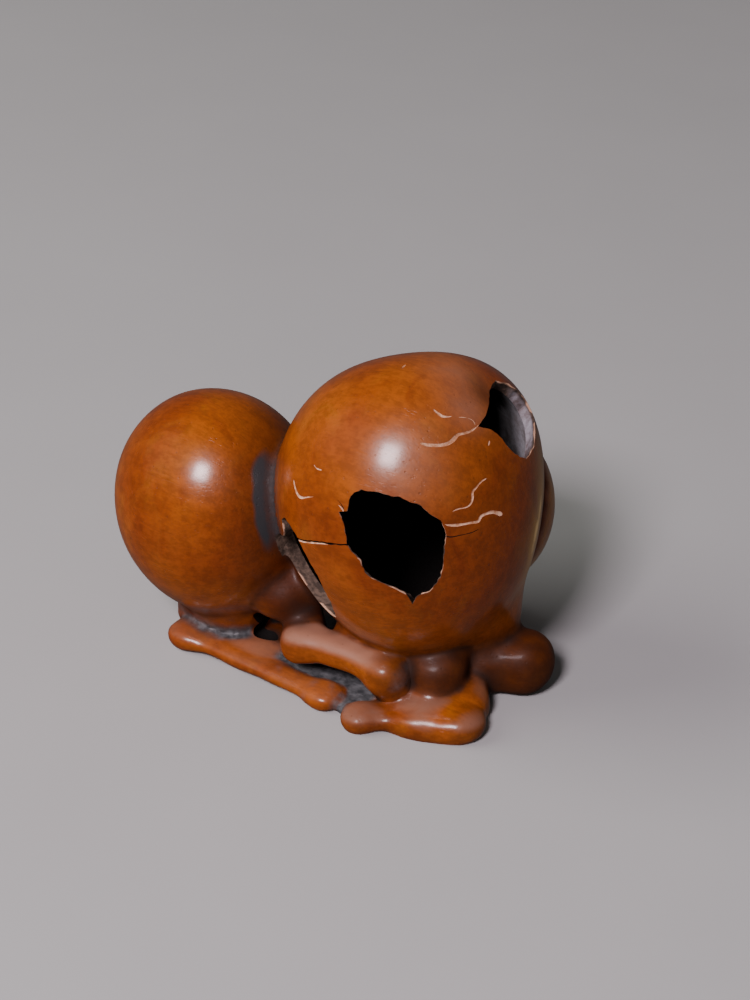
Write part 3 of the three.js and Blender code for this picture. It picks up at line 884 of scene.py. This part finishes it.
# Painted shade, with some old dirt, browns the far end of the bones and the neck, and painted shade darkens
# the space between the domes and the worn dent beside the upper hole. The right bones, the mound and the
# upper bone's end are browned too.
right_end = smooth(1.0 - np.minimum(bone_gaps[FAR_END], bone_gaps[BLUNT]), 0, 0.8) * 0.88
neck_end = smooth(1.2 - neck_gap, 0, 0.9) * smooth(9.5 - z, 0, 4)
neck_end = neck_end * smooth(y, -8.0, -6.0) * 0.75
shade_between_domes = smooth(8.5 - large_gap, 0, 6.5) * smooth(16.5 - z, 0, 8.5) * (large_gap > -0.4)
shade_between_domes = shade_between_domes * smooth(1.6 - np.minimum(small_gap, bridge_gap), 0, 0.8)
shade_between_domes = shade_between_domes * smooth(3 - y, 0, 3)
outwards = (points - np.array(LARGE["centre"])) / np.array(LARGE["radii"])
outwards /= np.linalg.norm(outwards, axis=1)[:, None]


def patch_on_dome(bearing, height, spread):
    """1 at a place on the large dome's skin, falling as exp(-(angle from it / spread) squared)."""
    apart = np.degrees(np.arccos(np.clip(outwards @ toward(bearing, height), -1, 1)))
    return np.exp(-((apart / spread) ** 2)) * (large_gap > -0.5)


# A broad patch on the front of the large dome is made faintly darker as well.
tell("dirt_and_shade", np.maximum(dirt_and_shade, 0.2 * patch_on_dome(-20, 25, 34)))
dent_shade = 0.6 * patch_on_dome(12, 56, 9)
shade_beside_large = 0.5 * smooth(7.5 - large_gap, 0, 6.0) * (small_gap < 0.5) * (large_gap > 0)
blunt_end = 0.55 * smooth(0.4 - bone_gaps[UPPER], 0, 0.3) * smooth(x, 6.5, 11.0)
dull = 0.34 * smooth(0.5 - right_gap, 0, 0.4)
old_dirt_and_shade = np.maximum.reduce([shade_beside_large, blunt_end, dull, right_end, neck_end, 0.93 * shade_between_domes, dent_shade])
tell("old_dirt_and_shade", old_dirt_and_shade * (0.88 + 0.12 * uneven))
tell("trodden", smooth(6.0 - z, 0, 2.0))
chipped = 0.45 + 0.55 * smooth(ripple(points, 2.0, 75), -0.5, 0.1)
tell("fresh", smooth(small_gap, 0.5, 1.3) * chipped)

# The tops of the bones are paler and pinker, worn by handling and with a painted sheen where they face up,
# and three patches on the large dome get a painted pinkish-grey sheen.
handled = np.stack([
    0.25 * smooth(0.25 - bone_gaps[LEFT], 0, 0.3),
    1.1 * smooth(0.25 - bone_gaps[RIGHT:FAR_END].min(0), 0, 0.3),
    1.6 * smooth(0.25 - bone_gaps[UPPER], 0, 0.3) * smooth(11.0 - x, 0, 5.0),
]).max(0)
top_of_bone = handled * smooth(facing_up, 0.15, 0.8)
greyed_sheen = 0.55 * patch_on_dome(-13, 57, 9) + 0.5 * patch_on_dome(15, 70, 13)
greyed_sheen = greyed_sheen + 0.4 * patch_on_dome(-60, 40, 16)
bank_top = 0.6 * smooth(0.5 - bank_gap, 0, 0.4)
mound_top = 1.1 * smooth(0.5 - mound_gap, 0, 0.4) * smooth(facing_up, 0.3, 0.8)
tell("worn_and_sheen", np.maximum.reduce([top_of_bone, greyed_sheen, bank_top, mound_top]))

# A painted yellow highlight runs along the dome's right edge, from above the lobe to its foot, and painted
# yellow light lies on the lobe.
HIGHLIGHT_LINE = [(28, 19), (20, 11), (13, 4), (9, -3), (9, -10.7), (11, -19)]
ridge = on_dome(LARGE, toward(*open_curve(HIGHLIGHT_LINE, 8).T))
from_ridge = np.linalg.norm(points[:, None] - ridge, axis=-1)
along_ridge = from_ridge.argmin(1) / len(ridge)
from_ridge = from_ridge.min(1)
fade = smooth(along_ridge, 0, 0.35) * smooth(1 - along_ridge, 0, 0.35)
edge_highlight = 0.32 * np.exp(-((from_ridge / 3.4) ** 2)) + fade * 0.5 * np.exp(-((from_ridge / 1.1) ** 2))
lobe_light = 0.3 * smooth(0.6 - lobe_gap, 0, 0.5) * smooth(large_gap, 0.3, 1.2)
tell("rim_highlight", np.maximum(edge_highlight, lobe_light))
tell("below", -large_gap)

# The hollow's wall is painted pale grey-blue to the right of a soft upright line, where the upper hole lets
# light in: dust, and painted light.
LIT_SIDE_WAY = toward(31.7, 0.0)
LIT_SIDE_FROM = np.array((1.15, 0.7, 16.5))
across = (points - LIT_SIDE_FROM) @ LIT_SIDE_WAY + 0.5 * ripple(points, 4.0, 76)
dust_and_light = smooth(across, 12.8, 14.3) * smooth(z, 19.0, 22.0)
tell("dust_and_light", dust_and_light * smooth(33.0 - z, 0, 3.0) * smooth(-large_gap, 0.2, 0.5))

netsuke.data.transform(Matrix.Scale(MM, 4) @ Matrix.Translation((-BOX_MIDDLE[0], -BOX_MIDDLE[1], 0)))
netsuke.data.polygons.foreach_set("use_smooth", np.ones(len(netsuke.data.polygons), bool))
netsuke.data.set_sharp_from_angle(angle=np.radians(35))
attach(netsuke, "root")
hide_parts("netsuke")

# The floor, the camera and the light
# A plain pale grey floor, the camera at the photograph's viewing angle, a softbox above and in front
# whose reflection is the soft white highlight on each dome, a large dim panel on the left, and a
# faint one on the right.
floor_corners = np.array([(-3, -3, 0), (3, -3, 0), (3, 3, 0), (-3, 3, 0)], float)
floor = mesh_object("floor", floor_corners, [[0, 1, 2, 3]])
pale_grey, tree, shader = material("pale_grey_floor", roughness=0.9, specular=0.1)
place = node(tree, "ShaderNodeTexCoord").outputs["Object"]
paper = blended(tree, noise(tree, place, 30, 3.0), (0.34, 0.34, 0.34, 1), (0.37, 0.37, 0.37, 1))
tree.links.new(paper, shader.inputs["Base Color"])
floor.data.materials.append(pale_grey)
floor.visible_glossy = False

BEARING, HEIGHT, DISTANCE = np.radians(31.7), np.radians(32.9), 0.240
back = np.array([np.sin(BEARING) * np.cos(HEIGHT), -np.cos(BEARING) * np.cos(HEIGHT), np.sin(HEIGHT)])
right = np.array([np.cos(BEARING), np.sin(BEARING), 0.0])
up = np.cross(back, right)
target = np.array([1.15 - BOX_MIDDLE[0], 0.7 - BOX_MIDDLE[1], 16.5]) * MM
camera = bpy.data.objects.new("camera", bpy.data.cameras.new("camera"))
bpy.context.scene.collection.objects.link(camera)
camera.location = target + DISTANCE * back
camera.rotation_euler = Vector(-back).to_track_quat("-Z", "Y").to_euler()
# The picture is upright and its height sets the field, as 1000 pixels to a focal length of 2304.
camera.data.sensor_fit = "VERTICAL"
camera.data.sensor_height = 36
camera.data.lens = 36 * 2.304
camera.data.clip_start = 0.01
bpy.context.scene.camera = camera


def panel(name, toward_right, toward_up, toward_back, away, size, power, colour, glossy=True):
    """A square light at a place given in the camera's right, up and back, turned to the carving."""
    light = bpy.data.objects.new(name, bpy.data.lights.new(name, "AREA"))
    way = toward_right * right + toward_up * up + toward_back * back
    way /= np.linalg.norm(way)
    light.data.energy = power
    light.data.size = size
    light.data.color = colour
    light.location = target + away * way
    light.rotation_euler = Vector(-way).to_track_quat("-Z", "Y").to_euler()
    light.visible_glossy = glossy
    bpy.context.scene.collection.objects.link(light)


panel("softbox", -0.30, 0.27, 0.92, 0.45, 0.11, 2.6, (1.0, 0.88, 0.945))
panel("left_fill", -0.85, 0.50, 0.25, 0.60, 0.45, 3.2, (1.0, 0.97, 0.92), glossy=False)
panel("right_fill", 0.95, 0.15, -0.25, 0.60, 0.30, 0.7, (1.0, 0.95, 0.85), glossy=False)
world = bpy.data.worlds.new("studio")
world.use_nodes = True
world.node_tree.nodes["Background"].inputs["Color"].default_value = (0.80, 0.82, 0.86, 1)
world.node_tree.nodes["Background"].inputs["Strength"].default_value = 0.10
bpy.context.scene.world = world
